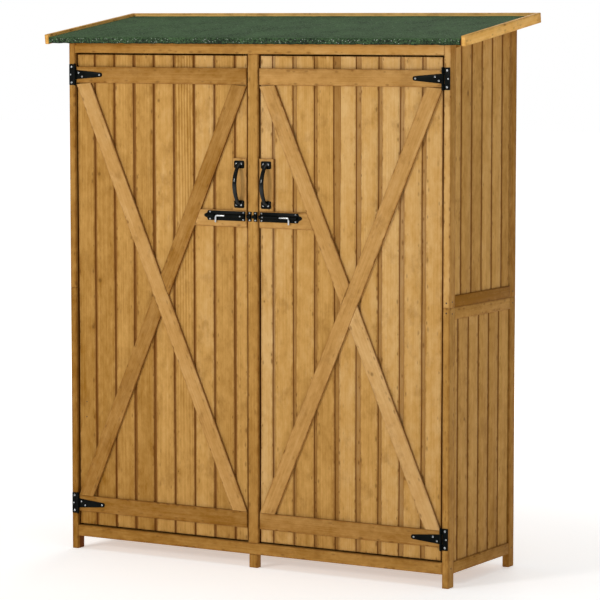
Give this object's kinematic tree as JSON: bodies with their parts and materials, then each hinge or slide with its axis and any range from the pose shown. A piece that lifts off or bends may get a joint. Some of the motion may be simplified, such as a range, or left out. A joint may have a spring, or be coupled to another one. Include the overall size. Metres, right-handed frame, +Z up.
{
  "type": "wooden tool shed",
  "caption": "Narrow wooden tool shed with a single-pitch felted roof and a pair of cross-braced doors on T-hinges, with pull handles and barrel bolts.",
  "frame": {"origin": "on the ground under the middle of the roof's outline", "axes": "+Z up, front faces -Y, +X to the right when facing the doors"},
  "size_m": [1.396, 0.474, 1.6],
  "materials": {
    "frame_timber": "planed fir, honey-brown stain",
    "cladding_boards": "planed fir boards, honey-brown stain",
    "door_battens": "planed fir battens, honey-brown stain",
    "roof_felt": "green mineral-faced bitumen felt",
    "black_hardware": "black satin coating",
    "zinc_rod": "bright zinc plate"
  },
  "bodies": {
    "shed": {"back_boards": "cladding_boards", "back_centre_posts": "frame_timber", "back_lower_rails": "frame_timber", "back_trim_board": "frame_timber", "back_upper_rails": "frame_timber", "barge_boards": "frame_timber", "bolt_keepers": "black_hardware", "floor_bearers": "frame_timber", "floor_boards": "cladding_boards", "front_centre_post": "frame_timber", "front_head_rail": "frame_timber", "front_sill_rail": "frame_timber", "hinge_plates": "black_hardware", "left_lower_boards": "cladding_boards", "left_lower_rails": "frame_timber", "left_upper_boards": "cladding_boards", "left_upper_rails": "frame_timber", "lower_corner_posts": "frame_timber", "right_lower_boards": "cladding_boards", "right_lower_rails": "frame_timber", "right_upper_boards": "cladding_boards", "right_upper_rails": "frame_timber", "roof_deck": "cladding_boards", "roof_felt": "roof_felt", "upper_corner_posts": "frame_timber"},
    "left_door": {"left_bolt_housing": "black_hardware", "left_door_boards": "cladding_boards", "left_door_bolt_board": "door_battens", "left_door_half_braces": "door_battens", "left_door_handle_block": "door_battens", "left_door_ledges": "door_battens", "left_door_main_brace": "door_battens", "left_hinge_straps": "black_hardware", "left_pull_handle": "black_hardware"},
    "right_door": {"right_bolt_housing": "black_hardware", "right_door_boards": "cladding_boards", "right_door_bolt_board": "door_battens", "right_door_half_braces": "door_battens", "right_door_handle_block": "door_battens", "right_door_ledges": "door_battens", "right_door_main_brace": "door_battens", "right_hinge_straps": "black_hardware", "right_pull_handle": "black_hardware"},
    "left_bolt": {"left_bolt_rod": "zinc_rod"},
    "right_bolt": {"right_bolt_rod": "zinc_rod"}
  },
  "joints": [
    {"name": "left_door_hinge", "type": "hinge", "parent": "shed", "child": "left_door", "pos_m": [-0.6125, -0.2046, 0], "axis": [0, 0, -1], "range_deg": [0, 170]},
    {"name": "right_door_hinge", "type": "hinge", "parent": "shed", "child": "right_door", "pos_m": [0.6125, -0.2046, 0], "axis": [0, 0, 1], "range_deg": [0, 170]},
    {"name": "left_bolt_slide", "type": "slide", "parent": "left_door", "child": "left_bolt", "axis": [1, 0, 0], "range_m": [0, 0.028]},
    {"name": "right_bolt_slide", "type": "slide", "parent": "right_door", "child": "right_bolt", "axis": [-1, 0, 0], "range_m": [0, 0.028]}
  ]
}
